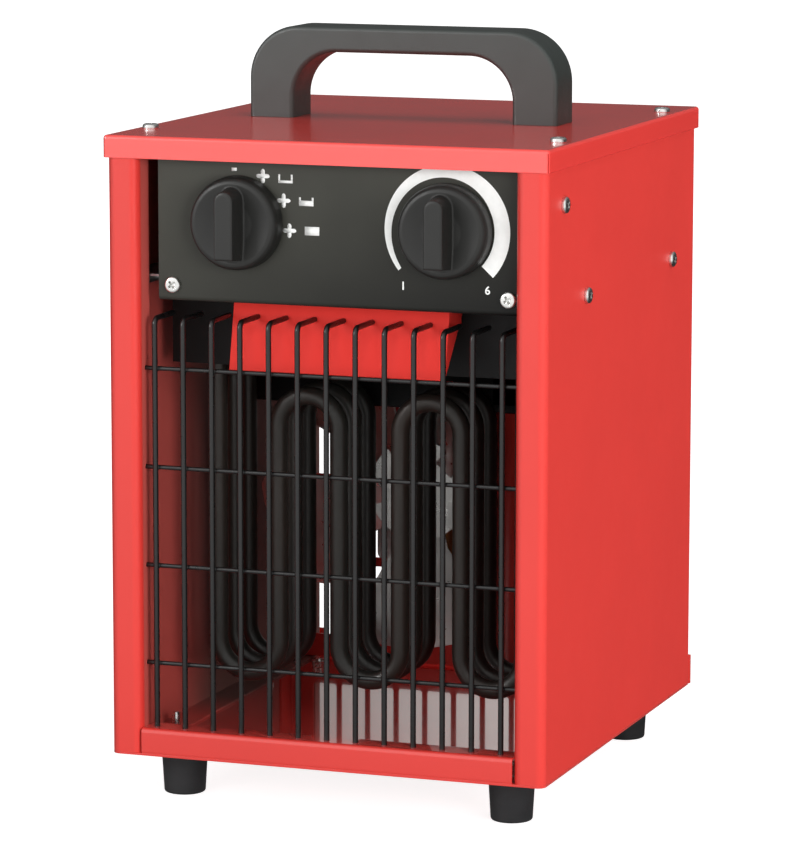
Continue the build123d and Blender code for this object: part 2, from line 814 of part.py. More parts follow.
with BuildPart() as motor_coil:
    with BuildSketch(Plane.YZ):
        with Locations(((stator_front + stator_rear) / 2, limb_bottom + limb_height / 2)):
            RectangleRounded(stator_depth + 2 * coil_overhang, limb_height + 2 * coil_height, 3)
            Rectangle(stator_depth + sheet_gap, limb_height + sheet_gap, mode=Mode.SUBTRACT)
    extrude(amount=coil_width / 2, both=True)
keep(motor_coil, "motor_coil")


def bearing(outer_face, away):
    """Bearing strap with a boss on the shaft and two posts on the stator; away is -1 for the front."""
    with BuildPart() as strap:
        with BuildSketch(Plane.XZ.offset(-outer_face)):
            with Locations((0, fan_z)):
                SlotCenterToCenter(motor_screw_spacing, bearing_width)
        extrude(amount=away * bearing_strap)
        with BuildSketch(Plane.XZ.offset(-outer_face)):
            with Locations((0, fan_z)):
                Circle(boss_radius)
        extrude(amount=-away * boss_length)
        with BuildSketch(Plane.XZ.offset(-outer_face)):
            with Locations(*motor_screw_places):
                Circle(post_radius)
        extrude(amount=away * (bearing_strap + bearing_gap))
        drill([facing(0, outer_face, fan_z, FORWARD)], shaft_radius + shaft_clearance, 2 * boss_length)
        drill(motor_planes, shank_radius + screw_hole_gap, motor_length)
    return strap


keep(bearing(bearing_front, -1), "motor_bearing_front")
keep(bearing(bearing_rear, 1), "motor_bearing_rear")

with BuildPart() as motor_standoffs:
    with BuildSketch(Plane.XZ.offset(-bearing_rear)):
        with Locations(*motor_screw_places):
            Circle(post_radius)
            Circle(shank_radius + screw_hole_gap, mode=Mode.SUBTRACT)
    extrude(amount=-standoff_length)
keep(motor_standoffs, "motor_standoffs")

foot_face = rear_plate - sheet - bracket_sheet / 2
with BuildPart() as motor_bracket:
    upper = fan_z + bracket_height / 2
    lower = fan_z - bracket_height / 2
    plate_mid = bracket_plate + bracket_sheet / 2
    folded_strip([(foot_face, upper + bracket_foot), (foot_face, upper), (plate_mid, upper),
                  (plate_mid, lower), (foot_face, lower), (foot_face, lower - bracket_foot)],
                 bracket_width, bracket_sheet, 2)
    drill(motor_planes, shank_radius + screw_hole_gap, motor_length + 2 * bracket_sheet)
    shank_holes(bracket_planes)
keep(motor_bracket, "motor_bracket")

keep(pan_screws(motor_planes, motor_length + bracket_sheet + motor_screw_tail), "motor_screws")
keep(pan_screws(bracket_planes, bracket_screw_length), "bracket_screws")

with BuildPart() as motor_nuts:
    with BuildSketch(Plane.XZ.offset(-bracket_plate - bracket_sheet)):
        with Locations(*motor_screw_places):
            RegularPolygon(foot_nut_radius, 6)
            Circle(shank_radius, mode=Mode.SUBTRACT)
    extrude(amount=-foot_nut_height)
keep(motor_nuts, "motor_nuts")


# ---- Handle: an arch with thick legs and a slimmer grip, screwed from under the lid
with BuildPart() as carry_handle:
    with BuildSketch(Plane.XZ.offset(-handle_y + handle_depth / 2)):
        with Locations((handle_x, lid_top)):
            Rectangle(handle_length, handle_height, align=(Align.CENTER, Align.MIN))
        fillet(vertices().group_by(Axis.Y)[-1], handle_outer_radius)
        with Locations((handle_x, lid_top - handle_height)):
            RectangleRounded(handle_length - 2 * handle_leg, 2 * handle_height - handle_grip,
                             handle_inner_radius, align=(Align.CENTER, Align.MIN), mode=Mode.SUBTRACT)
    extrude(amount=-handle_depth)
    sides = carry_handle.faces().filter_by(Axis.Y)
    outline = sides.edges().filter_by(lambda edge: edge.center().Z > lid_top + 0.01)
    fillet(outline, handle_edge_radius)
    drill(handle_planes, shank_radius + screw_hole_gap, handle_screw_length)
keep(carry_handle, "carry_handle")
keep(pan_screws(handle_planes, handle_screw_length - 1), "handle_screws")


# ---- Feet: tapered rubber with a screw well, each held by a screw and a nut on the tray
with BuildPart() as feet:
    for x, y in foot_places:
        with BuildSketch(Plane.XY.offset(base)):
            with Locations((x, y)):
                Circle(foot_top_radius)
        with BuildSketch():
            with Locations((x, y)):
                Circle(foot_base_radius)
        loft()
    fillet(feet.faces().sort_by(Axis.Z)[:4].edges(), foot_edge_radius)
    for x, y in foot_places:
        with BuildSketch(facing(x, y, 0, UP)):
            Circle(foot_well_radius)
        extrude(amount=foot_well_depth, mode=Mode.SUBTRACT)
        with BuildSketch(facing(x, y, 0, UP)):
            Circle(foot_screw_radius + screw_hole_gap)
        extrude(amount=foot_height, mode=Mode.SUBTRACT)
keep(feet, "feet")

with BuildPart() as foot_screws:
    for x, y in foot_places:
        with BuildSketch(Plane.XY.offset(foot_well_depth)):
            with Locations((x, y)):
                Circle(screw_head_radius)
        extrude(amount=-2 * screw_head_height)
        with BuildSketch(Plane.XY.offset(foot_well_depth)):
            with Locations((x, y)):
                Circle(foot_screw_radius)
        extrude(amount=foot_height - foot_well_depth + sheet + foot_nut_height + 1)
keep(foot_screws, "foot_screws")

with BuildPart() as foot_nuts:
    for x, y in foot_places:
        with BuildSketch(Plane.XY.offset(base + sheet)):
            with Locations((x, y)):
                RegularPolygon(foot_nut_radius, 6)
                Circle(foot_screw_radius, mode=Mode.SUBTRACT)
        extrude(amount=foot_nut_height)
keep(foot_nuts, "foot_nuts")


# ---- Case screws
keep(pan_screws(lid_planes), "lid_screws")
keep(pan_screws(base_planes), "base_screws")
keep(pan_screws(fascia_planes), "fascia_screws")
keep(pan_screws(left_planes + right_planes), "side_screws")
keep(pan_screws(ear_planes, rear_screw_length), "rear_screws")


# ---- Cable inlet and the small electrical parts on the chassis
with BuildPart() as cable_grommet:
    with BuildSketch(Plane.XZ.offset(-rear_plate - grommet_lip)):
        with Locations((grommet_x, grommet_z)):
            Circle(grommet_radius)
    extrude(amount=grommet_lip, taper=-12)
    with BuildSketch(Plane.XZ.offset(-rear_plate)):
        with Locations((grommet_x, grommet_z)):
            Circle(grommet_neck)
    extrude(amount=sheet)
    with BuildSketch(Plane.XZ.offset(-rear_plate + sheet)):
        with Locations((grommet_x, grommet_z)):
            Circle(grommet_radius - 1)
    extrude(amount=grommet_lip)
    drill([facing(grommet_x, rear_plate, grommet_z, BACK)], grommet_bore, 3 * grommet_lip)
keep(cable_grommet, "cable_grommet")

with BuildPart() as terminal_block:
    with BuildSketch(Plane.XY.offset(chassis_z)):
        with Locations((grommet_x, rear_plate - 2 * grommet_radius - block_depth)):
            RectangleRounded(block_length, block_depth, 2)
    extrude(amount=block_height)
    with BuildSketch(Plane.XY.offset(chassis_z + block_height)):
        with Locations((grommet_x, rear_plate - 2 * grommet_radius - block_depth)):
            with GridLocations(block_length / 3, block_depth / 2, 3, 2):
                Circle(block_screw_radius + block_screw_gap)
    extrude(amount=-block_screw_well, mode=Mode.SUBTRACT)
keep(terminal_block, "terminal_block")

with BuildPart() as terminal_screws:
    with BuildSketch(Plane.XY.offset(chassis_z + block_height - block_screw_well)):
        with Locations((grommet_x, rear_plate - 2 * grommet_radius - block_depth)):
            with GridLocations(block_length / 3, block_depth / 2, 3, 2):
                Circle(block_screw_radius)
    extrude(amount=block_screw_rise)
keep(terminal_screws, "terminal_screws")

with BuildPart() as thermal_cutout:
    with BuildSketch(Plane.XY.offset(chassis_z)):
        with Locations((0, element_places[1])):
            SlotCenterToCenter(2 * cutout_radius + cutout_ear / 2, cutout_ear)
            Circle(cutout_radius)
    extrude(amount=sheet)
    with BuildSketch(Plane.XY.offset(chassis_z + sheet)):
        with Locations((0, element_places[1])):
            Circle(cutout_radius)
    extrude(amount=cutout_height)
    with BuildSketch(Plane.XY.offset(chassis_z + sheet + cutout_height)):
        with Locations((-cutout_radius / 2, element_places[1]), (cutout_radius / 2, element_places[1])):
            Rectangle(tab_thickness, tab_width)
    extrude(amount=tab_length)
keep(thermal_cutout, "thermal_cutout")
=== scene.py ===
"""Looks of a portable forced air heater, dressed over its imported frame.

Metres, +Z up, -Y out of the grille, +X to the right of someone who faces it.
"""

import json
from math import cos, pi, radians, sin

import bmesh
import bpy
from mathutils import Matrix, Vector

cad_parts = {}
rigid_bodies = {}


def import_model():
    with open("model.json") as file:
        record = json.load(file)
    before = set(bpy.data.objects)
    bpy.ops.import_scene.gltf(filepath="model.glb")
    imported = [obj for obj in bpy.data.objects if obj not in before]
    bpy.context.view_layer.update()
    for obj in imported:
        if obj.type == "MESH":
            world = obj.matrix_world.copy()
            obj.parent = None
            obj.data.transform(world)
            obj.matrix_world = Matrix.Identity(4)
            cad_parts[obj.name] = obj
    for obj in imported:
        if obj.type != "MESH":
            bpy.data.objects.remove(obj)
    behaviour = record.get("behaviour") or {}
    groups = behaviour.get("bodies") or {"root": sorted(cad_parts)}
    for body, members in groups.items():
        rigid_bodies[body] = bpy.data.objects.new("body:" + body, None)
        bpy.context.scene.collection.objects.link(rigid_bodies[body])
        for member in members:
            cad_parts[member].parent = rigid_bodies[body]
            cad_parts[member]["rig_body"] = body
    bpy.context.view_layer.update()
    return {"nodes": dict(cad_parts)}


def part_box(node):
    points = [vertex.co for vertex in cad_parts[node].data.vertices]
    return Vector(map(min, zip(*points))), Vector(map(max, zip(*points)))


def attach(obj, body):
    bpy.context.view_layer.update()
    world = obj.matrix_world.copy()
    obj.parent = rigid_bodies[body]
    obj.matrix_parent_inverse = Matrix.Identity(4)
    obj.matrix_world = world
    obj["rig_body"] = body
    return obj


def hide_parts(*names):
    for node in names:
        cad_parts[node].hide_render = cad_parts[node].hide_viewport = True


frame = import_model()
nodes = frame["nodes"]
MM = 0.001

# Where the camera of the photograph stood, in the frame
CAMERA_PLACE = (0.6839, -1.92741, 0.48472)
CAMERA_AZIMUTH = 19.6445
CAMERA_DOWN = 8.9768
CAMERA_ROLL = 0.0661
CAMERA_LENS = 190.2
CAMERA_SENSOR = 36
CAMERA_REACH = 50

# Colours, linear
RED = (0.70, 0.043, 0.034)
# Lighter copy of RED for the lid and the hood: painted light
RED_PAINTED_LIT = (0.90, 0.048, 0.038)
RED_DEEP = (0.62, 0.036, 0.028)
# Lighter, pinker copy of RED on the tray's floor: painted light
TRAY_RED_PAINTED_LIT = (0.80, 0.075, 0.062)
# Darker red of the side panels' inner faces: painted shade
INNER_RED_SHADED = (0.52, 0.085, 0.070)
# Near-black red of the painted shade at the rear of the side panels' inner faces
INNER_PAINTED_SHADE = (0.17, 0.080, 0.068)
BLACK_SATIN = (0.006, 0.006, 0.0058)
BLACK_PAINTED_SHEEN = (0.058, 0.058, 0.049)
# Paler black of the fascia's painted sheen
SATIN_EDGE = (0.06, 0.06, 0.06)
BLACK_WIRE = (0.005, 0.005, 0.005)
BLACK_SHIELD = (0.007, 0.007, 0.007)
SHIELD_EDGE = (0.04, 0.04, 0.04)
SHEATH = (0.016, 0.015, 0.013)
HEAT_STAIN = (0.040, 0.026, 0.020)
HANDLE_GREY = (0.0220, 0.0275, 0.0250)
KNOB_BLACK = (0.012, 0.012, 0.011)
RUBBER = (0.016, 0.016, 0.017)
ZINC = (0.72, 0.72, 0.70)
GALVANISED = (0.50, 0.51, 0.52)
TURNED = (0.62, 0.62, 0.62)
FAN_METAL = (0.56, 0.55, 0.53)
CORE_METAL = (0.78, 0.77, 0.75)
TAPE = (0.62, 0.44, 0.16)
MOULDED_CREAM = (0.68, 0.64, 0.54)
CERAMIC = (0.80, 0.77, 0.68)
INK_WHITE = (0.86, 0.87, 0.85)


# ---- Materials
EVEN = (1, 1, 1)
NOISE_RANGE = (0.3, 0.7)
SOFT_EDGE = 0.4 * MM
WORN_EDGE = 0.25 * MM
EDGE_AGREEMENT = (0.80, 0.99)

# Where a coat changes, as pairs of places in mm from an edge of its node
TRAY_RAIL_FOLD = (2, 3)
PANEL_SKIN = (-0.7, -0.4)
PANEL_FRONT_FOLD = (4, 5)
PANEL_REAR_FOLD = (-1.4, -1.2)
# Span over which the painted shade inside the side panels deepens
PANEL_PAINTED_SHADE = (75, 120)
# Span and strength of the painted sheen on the fascia
PAINTED_SHEEN_TOP = 10 * MM
PAINTED_SHEEN_SHARE = 0.60
TRAY_FLOOR_COAT = 0.35
PANEL_DULLNESS = 0.25


def node(tree, kind, **values):
    """A shader node with its properties or its input sockets set."""
    made = tree.nodes.new(kind)
    for name, value in values.items():
        if name in made.inputs:
            made.inputs[name].default_value = value
        else:
            setattr(made, name, value)
    return made


def new_material(name):
    """A material with its node tree and its shader."""
    material = bpy.data.materials.new(name)
    material.use_nodes = True
    return material, material.node_tree, material.node_tree.nodes["Principled BSDF"]


def separated(tree, vector):
    """Outputs X, Y and Z of a vector."""
    split = node(tree, "ShaderNodeSeparateXYZ")
    tree.links.new(vector, split.inputs["Vector"])
    return split.outputs


def object_space(tree, stretch=EVEN):
    """Object coordinates, stretched along the axes."""
    place = node(tree, "ShaderNodeTexCoord")
    mapping = node(tree, "ShaderNodeMapping", Scale=stretch)
    tree.links.new(place.outputs["Object"], mapping.inputs["Vector"])
    return mapping.outputs["Vector"]


def noise(tree, scale, detail=3.0, stretch=EVEN):
    """Fine cloud values in object space; scale is in cells per metre."""
    made = node(tree, "ShaderNodeTexNoise", Scale=scale, Detail=detail)
    tree.links.new(object_space(tree, stretch), made.inputs["Vector"])
    return made.outputs["Fac"]


def remap(tree, value, low, high, source=NOISE_RANGE):
    """Value stretched from its source range to low and high, and held between them."""
    made = node(tree, "ShaderNodeMapRange")
    made.inputs["From Min"].default_value = source[0]
    made.inputs["From Max"].default_value = source[1]
    made.inputs["To Min"].default_value = low
    made.inputs["To Max"].default_value = high
    tree.links.new(value, made.inputs["Value"])
    return made.outputs["Result"]


def span(edge, pair):
    """Source range between two places in mm from an edge."""
    return edge + pair[0] * MM, edge + pair[1] * MM


def set_socket(tree, socket, value):
    """Links an output socket to an input one, or else sets its number."""
    if isinstance(value, bpy.types.NodeSocket):
        tree.links.new(value, socket)
    else:
        socket.default_value = value


def blend_colour(tree, share, first, second):
    """Colour between two others; each is a colour or an output socket."""
    made = node(tree, "ShaderNodeMix", data_type="RGBA")
    tree.links.new(share, made.inputs["Factor"])
    for name, value in (("A", first), ("B", second)):
        socket = next(s for s in made.inputs if s.name == name and s.type == "RGBA")
        set_socket(tree, socket, (*value, 1) if isinstance(value, tuple) else value)
    return next(s for s in made.outputs if s.type == "RGBA")


def product(tree, first, second):
    """Product of two values, each a number or an output socket."""
    made = node(tree, "ShaderNodeMath", operation="MULTIPLY")
    set_socket(tree, made.inputs[0], first)
    set_socket(tree, made.inputs[1], second)
    return made.outputs[0]


def total(tree, first, second):
    """Sum of two output sockets."""
    made = node(tree, "ShaderNodeMath", operation="ADD")
    tree.links.new(first, made.inputs[0])
    tree.links.new(second, made.inputs[1])
    return made.outputs[0]


def shade(colour, factor):
    """The same colour, lighter or darker."""
    return tuple(min(1.0, part * factor) for part in colour)


def tint_over(tree, shader, share, colour):
    """Lays a colour over a shader's base colour by a share."""
    base = shader.inputs["Base Color"]
    tree.links.new(blend_colour(tree, share, base.links[0].from_socket, colour), base)


def bump(tree, height, distance, strength=1.0, below=None):
    """Normal from a height, over the normal of what lies below."""
    made = node(tree, "ShaderNodeBump", Strength=strength, Distance=distance)
    tree.links.new(height, made.inputs["Height"])
    if below is not None:
        tree.links.new(below, made.inputs["Normal"])
    return made.outputs["Normal"]


def soft_edges(tree, radius, samples=6):
    """Normal rounded over the edges of a piece."""
    made = node(tree, "ShaderNodeBevel", Radius=radius)
    made.samples = samples
    return made.outputs["Normal"]


def edge_share(tree):
    """One along sharp edges and zero on open faces."""
    plain = node(tree, "ShaderNodeNewGeometry")
    agreement = node(tree, "ShaderNodeVectorMath", operation="DOT_PRODUCT")
    tree.links.new(soft_edges(tree, WORN_EDGE, 4), agreement.inputs[0])
    tree.links.new(plain.outputs["Normal"], agreement.inputs[1])
    return remap(tree, agreement.outputs["Value"], 1, 0, EDGE_AGREEMENT)


def surface(name, colour, roughness, metallic=0.0, clouds=0.06, cloud_scale=30,
            gloss_spread=0.04, grain_scale=1500, grain_height=0.01 * MM, stretch=EVEN,
            edge_radius=SOFT_EDGE, edge_colour=None, **sockets):
    """Finish with soft colour clouds, uneven gloss, a fine grain and rounded, worn edges."""
    material, tree, shader = new_material(name)
    cloud = remap(tree, noise(tree, cloud_scale, stretch=stretch), 0, 1)
    tint = blend_colour(tree, cloud, shade(colour, 1 - clouds), shade(colour, 1 + clouds))
    tree.links.new(tint, shader.inputs["Base Color"])
    if edge_colour:
        tint_over(tree, shader, edge_share(tree), edge_colour)
    uneven = noise(tree, 3 * cloud_scale, stretch=stretch)
    gloss = remap(tree, uneven, roughness - gloss_spread, roughness + gloss_spread)
    tree.links.new(gloss, shader.inputs["Roughness"])
    grain = noise(tree, grain_scale, detail=2, stretch=stretch)
    normal = bump(tree, grain, grain_height, below=soft_edges(tree, edge_radius))
    tree.links.new(normal, shader.inputs["Normal"])
    shader.inputs["Metallic"].default_value = metallic
    for socket, value in sockets.items():
        shader.inputs[socket.replace("_", " ")].default_value = value
    return material


def shader_of(material):
    """Node tree and shader of a material."""
    return material.node_tree, material.node_tree.nodes["Principled BSDF"]


def powder_coat(name, colour, **gloss):
    """Enamel with orange peel, a clear gloss and paler edges."""
    return surface(name, colour, clouds=0.02, cloud_scale=18, grain_scale=500,
                   grain_height=0.004 * MM, edge_colour=shade(colour, 1.25), **gloss)


def brushed(name, colour, roughness, stretch, grain_scale):
    """Bare metal with a drawn grain along one axis."""
    return surface(name, colour, roughness, metallic=1.0, clouds=0.10, cloud_scale=60,
                   gloss_spread=0.08, grain_scale=grain_scale, grain_height=0.006 * MM,
                   stretch=stretch, edge_colour=shade(colour, 1.2))


def banded(name, colour, dark, bands, roughness, metallic, direction):
    """Thin bands stacked along one axis, such as laminations or turns of tape."""
    material, tree, shader = new_material(name)
    wave = node(tree, "ShaderNodeTexWave", Scale=bands, Distortion=0.15)
    wave.bands_direction = direction
    tree.links.new(object_space(tree), wave.inputs["Vector"])
    share = product(tree, wave.outputs["Fac"], remap(tree, noise(tree, 90), 0.85, 1))
    tree.links.new(blend_colour(tree, share, dark, colour), shader.inputs["Base Color"])
    gloss = remap(tree, noise(tree, 200), roughness - 0.08, roughness + 0.08)
    tree.links.new(gloss, shader.inputs["Roughness"])
    normal = bump(tree, wave.outputs["Fac"], 0.08 * MM, 0.7, soft_edges(tree, SOFT_EDGE))
    tree.links.new(normal, shader.inputs["Normal"])
    shader.inputs["Metallic"].default_value = metallic
    return material


def galvanised(name):
    """Zinc coated sheet with its crystal flowers."""
    material = surface(name, GALVANISED, 0.36, metallic=1.0, gloss_spread=0.06)
    tree, shader = shader_of(material)
    cells = node(tree, "ShaderNodeTexVoronoi", Scale=160.0, Randomness=1.0)
    tree.links.new(object_space(tree), cells.inputs["Vector"])
    flower = node(tree, "ShaderNodeSeparateColor")
    tree.links.new(cells.outputs["Color"], flower.inputs["Color"])
    tint = blend_colour(tree, flower.outputs["Red"], shade(GALVANISED, 0.82),
                        shade(GALVANISED, 1.18))
    tree.links.new(tint, shader.inputs["Base Color"])
    return material


def oxidised(name):
    """Element sheath: dark oxide with faint brown heat stains."""
    material = surface(name, SHEATH, 0.40, metallic=0.25, cloud_scale=70, gloss_spread=0.08,
                       grain_scale=2200, grain_height=0.02 * MM)
    tree, shader = shader_of(material)
    stain = remap(tree, noise(tree, 22, stretch=(1, 1, 0.25)), 0, 0.5, (0.45, 0.75))
    tint = blend_colour(tree, stain, SHEATH, HEAT_STAIN)
    tree.links.new(tint, shader.inputs["Base Color"])
    return material


def tray_coat(name):
    """Glossy enamel of the tray, plain on the rail, and behind it less clear and lighter with
    painted light.
    """
    material = powder_coat(name, RED, roughness=0.12, gloss_spread=0.02, Coat_Weight=1.0,
                           Coat_Roughness=0.03, Coat_IOR=1.8)
    tree, shader = shader_of(material)
    depth = separated(tree, object_space(tree))["Y"]
    fold = span(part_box("base_tray")[0].y, TRAY_RAIL_FOLD)
    # Painted light: a lighter red over the floor behind the rail
    painted_floor_light = product(tree, remap(tree, depth, 0, 1, fold), remap(tree, noise(tree, 14), 0.85, 1))
    tint_over(tree, shader, painted_floor_light, TRAY_RED_PAINTED_LIT)
    tree.links.new(remap(tree, depth, TRAY_FLOOR_COAT, 1, fold), shader.inputs["Coat Weight"])
    return material


def panel_coat(name):
    """Enamel of the side panels, dull on their inner faces, with painted shade there that
    deepens to the rear.
    """
    material = powder_coat(name, RED, roughness=0.36, gloss_spread=0.02,
                           Specular_IOR_Level=0.50)
    tree, shader = shader_of(material)
    place = separated(tree, object_space(tree))
    reach = node(tree, "ShaderNodeMath", operation="ABSOLUTE")
    tree.links.new(place["X"], reach.inputs[0])
    low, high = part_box("side_panel_right")
    inside = remap(tree, reach.outputs[0], 1, 0, span(high.x, PANEL_SKIN))
    behind = remap(tree, place["Y"], 0, 1, span(low.y, PANEL_FRONT_FOLD))
    before = remap(tree, place["Y"], 1, 0, span(high.y, PANEL_REAR_FOLD))
    hidden = product(tree, product(tree, inside, behind), before)
    # Painted shade that deepens towards the rear of the inner faces
    painted_shade = remap(tree, place["Y"], 0, 1, span(low.y, PANEL_PAINTED_SHADE))
    tint_over(tree, shader, hidden, blend_colour(tree, painted_shade, INNER_RED_SHADED, INNER_PAINTED_SHADE))
    gloss = shader.inputs["Roughness"]
    dull = remap(tree, hidden, 0, PANEL_DULLNESS, (0, 1))
    tree.links.new(total(tree, gloss.links[0].from_socket, dull), gloss)
    return material


def fascia_coat(name):
    """Satin black print varnish with a paler painted sheen towards the upper left."""
    material = surface(name, BLACK_SATIN, 0.36, clouds=0.10, grain_scale=700,
                       grain_height=0.006 * MM, Specular_IOR_Level=0.13)
    tree, shader = shader_of(material)
    place = separated(tree, object_space(tree))
    low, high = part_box("control_fascia")
    # Painted sheen, paler to the left and towards the top
    across = remap(tree, place["X"], PAINTED_SHEEN_SHARE, 0, (low.x, high.x))
    up = remap(tree, place["Z"], 0, PAINTED_SHEEN_SHARE, (low.z, high.z - PAINTED_SHEEN_TOP))
    uneven = remap(tree, noise(tree, 22), 0.85, 1.1)
    tint_over(tree, shader, product(tree, total(tree, across, up), uneven), BLACK_PAINTED_SHEEN)
    tint_over(tree, shader, edge_share(tree), SATIN_EDGE)
    return material


red_enamel = powder_coat("red_enamel", RED, roughness=0.36, gloss_spread=0.02,
                         Specular_IOR_Level=0.50)
panel_enamel = panel_coat("panel_enamel")
# The hood and the lid take the lighter copy of the red, painted light
hood_enamel = powder_coat("hood_enamel", RED_PAINTED_LIT, roughness=0.45, gloss_spread=0.03,
                          Specular_IOR_Level=0.10)
lid_enamel = powder_coat("lid_enamel", RED_PAINTED_LIT, roughness=0.24, gloss_spread=0.02,
                         Specular_IOR_Level=0.90, Coat_Weight=0.8, Coat_Roughness=0.20)
tray_enamel = tray_coat("tray_enamel")
rear_enamel = powder_coat("rear_enamel", RED_DEEP, roughness=0.34, gloss_spread=0.02,
                          Specular_IOR_Level=0.40)
black_enamel = fascia_coat("black_enamel")
shield_enamel = surface("shield_enamel", BLACK_SHIELD, 0.55, clouds=0.20, cloud_scale=40,
                        grain_scale=900, grain_height=0.02 * MM, edge_colour=SHIELD_EDGE,
                        Specular_IOR_Level=0.25)
wire_enamel = surface("wire_enamel", BLACK_WIRE, 0.30, clouds=0.15, cloud_scale=120,
                      grain_height=0.02 * MM, Specular_IOR_Level=0.50)
element_sheath = oxidised("element_sheath")
handle_plastic = surface("handle_plastic", HANDLE_GREY, 0.48, clouds=0.05, cloud_scale=40,
                         gloss_spread=0.05, grain_scale=2600, grain_height=0.030 * MM,
                         Specular_IOR_Level=0.75)
knob_plastic = surface("knob_plastic", KNOB_BLACK, 0.46, clouds=0.08, cloud_scale=60,
                       grain_scale=3000, grain_height=0.012 * MM, Specular_IOR_Level=0.40)
rubber = surface("rubber", RUBBER, 0.52, clouds=0.15, cloud_scale=90, gloss_spread=0.08,
                 grain_scale=1800, grain_height=0.03 * MM)
zinc_plate = surface("zinc_plate", ZINC, 0.26, metallic=1.0, clouds=0.08, cloud_scale=250,
                     gloss_spread=0.07, grain_scale=2500, grain_height=0.006 * MM)
galvanised_sheet = galvanised("galvanised_sheet")
turned_steel = brushed("turned_steel", TURNED, 0.26, (1, 25, 1), 700)
fan_metal = brushed("fan_metal", FAN_METAL, 0.34, EVEN, 300)
laminations = banded("laminations", CORE_METAL, shade(CORE_METAL, 0.35), 300, 0.42, 0.9, "Y")
coil_tape = banded("coil_tape", TAPE, shade(TAPE, 0.55), 60, 0.45, 0.0, "X")
cream_moulding = surface("cream_moulding", MOULDED_CREAM, 0.50, clouds=0.05,
                         grain_scale=1200, grain_height=0.02 * MM)
ceramic = surface("ceramic", CERAMIC, 0.62, clouds=0.06, cloud_scale=200, grain_scale=2600,
                  grain_height=0.03 * MM)
white_ink = surface("white_ink", INK_WHITE, 0.45, clouds=0.03, cloud_scale=400,
                    grain_scale=3500, grain_height=0.008 * MM, edge_radius=0.05 * MM)

NODE_FINISH = {
    hood_enamel: "heat_deflector",
    panel_enamel: "side_panel_left side_panel_right",
    lid_enamel: "top_cover",
    tray_enamel: "base_tray",
    rear_enamel: "rear_panel",
    black_enamel: "control_fascia",
    shield_enamel: "heat_shield",
    wire_enamel: "front_grille",
    element_sheath: "heating_element_front heating_element_middle heating_element_rear",
    handle_plastic: "carry_handle",
    knob_plastic: "selector_knob thermostat_knob",
    rubber: "feet cable_grommet",
    zinc_plate: "lid_screws base_screws fascia_screws side_screws rear_screws handle_screws "
                "foot_screws foot_nuts bracket_screws motor_screws motor_nuts motor_standoffs "
                "terminal_screws element_bushings element_terminals fan_nut",
    galvanised_sheet: "control_chassis motor_bracket motor_bearing_front motor_bearing_rear "
                      "thermal_cutout",
    turned_steel: "motor_shaft selector_spindle thermostat_spindle fan_hub",
    fan_metal: "fan_blades",
    laminations: "motor_stator motor_rotor",
    coil_tape: "motor_coil",
    cream_moulding: "selector_switch thermostat terminal_block",
    ceramic: "element_insulators",
}
for finish, names in NODE_FINISH.items():
    for name in names.split():
        mesh = nodes[name].data
        mesh.materials.clear()
        mesh.materials.append(finish)
        mesh.shade_smooth()


# ---- Helpers for pieces
SHARP_ANGLE = 38
# Turns what is built along +Z to point out of the front
TO_FRONT = Matrix.Rotation(radians(90), 4, "X")


def body_of(name):
    """The body that a node rides on."""
    return nodes[name]["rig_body"]


def in_scene(name, data):
    """A new object in the scene."""
    made = bpy.data.objects.new(name, data)
    bpy.context.scene.collection.objects.link(made)
    return made


def mesh_from(name, build):
    """A mesh from a bmesh, which is used up."""
    mesh = bpy.data.meshes.new(name)
    build.to_mesh(mesh)
    build.free()
    return mesh


def piece_from(name, build, material, body):
    """A piece of the object from a bmesh in the frame's coordinates."""
    mesh = mesh_from(name, build)
    mesh.shade_smooth()
    mesh.materials.append(material)
    piece = in_scene(name, mesh)
    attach(piece, body)
    return piece


def solids_of(name, reach):
    """Corners of each solid of a node whose solids lie further apart than reach."""
    groups = []
    for vertex in nodes[name].data.vertices:
        for group in groups:
            if (group[0] - vertex.co).length < reach:
                group.append(vertex.co)
                break
        else:
            groups.append([vertex.co])
    return [(Vector(map(min, *group)), Vector(map(max, *group))) for group in groups]


def lathe(profile, steps):
    """Closed bmesh about +Z from (radius, height) points that start and end on the axis."""
    made = bmesh.new()
    turns = [2 * pi * i / steps for i in range(steps)]
    rings = []
    for radius, height in profile:
        if radius == 0:
            rings.append([made.verts.new((0, 0, height))])
        else:
            rings.append([made.verts.new((radius * cos(turn), radius * sin(turn), height))
                          for turn in turns])
    for lower, upper in zip(rings, rings[1:]):
        for i in range(steps):
            j = (i + 1) % steps
            corners = [lower[i % len(lower)], lower[j % len(lower)], upper[j % len(upper)],
                       upper[i % len(upper)]]
            made.faces.new(dict.fromkeys(corners))
    bmesh.ops.recalc_face_normals(made, faces=made.faces)
    return made


def evaluated(build, *modifiers):
    """The bmesh after modifiers, each a kind with its settings."""
    mesh = mesh_from("work", build)
    work = in_scene("work", mesh)
    for kind, settings in modifiers:
        modifier = work.modifiers.new(kind, kind)
        for setting, value in settings.items():
            setattr(modifier, setting, value)
    result = bmesh.new()
    result.from_object(work, bpy.context.evaluated_depsgraph_get())
    bpy.data.objects.remove(work)
    bpy.data.meshes.remove(mesh)
    return result


def lofted(made, loops):
    """Closed skin over loops of as many points each, added to the bmesh made."""
    rings = [[made.verts.new(point) for point in loop] for loop in loops]
    faces = [made.faces.new(rings[0]), made.faces.new(rings[-1])]
    for lower, upper in zip(rings, rings[1:]):
        for i in range(len(lower)):
            j = (i + 1) % len(lower)
            faces.append(made.faces.new((lower[i], lower[j], upper[j], upper[i])))
    bmesh.ops.recalc_face_normals(made, faces=faces)


